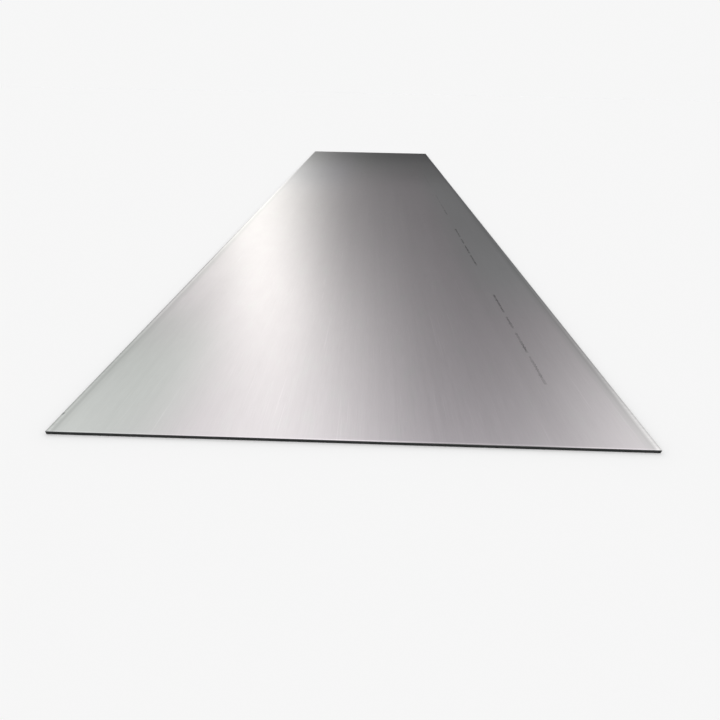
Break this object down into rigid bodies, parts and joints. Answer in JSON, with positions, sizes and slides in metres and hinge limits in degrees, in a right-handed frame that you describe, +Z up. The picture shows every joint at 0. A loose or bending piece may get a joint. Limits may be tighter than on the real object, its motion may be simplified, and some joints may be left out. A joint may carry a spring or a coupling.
{
  "type": "steel plate",
  "caption": "Flat rectangular hot-rolled steel plate with sheared edges, the raw stock that parts are cut, bent and welded from.",
  "frame": {"origin": "centre of the underside", "axes": "+Z up through the thickness, Y along the rolling direction and the length, X across the width"},
  "size_m": [1.5, 6, 0.01],
  "materials": {
    "steel_plate": "satin light-grey mill surface with a faint lengthwise grain, darker sheared edges"
  },
  "bodies": {
    "root": {"steel_plate": "steel_plate"}
  },
  "joints": []
}
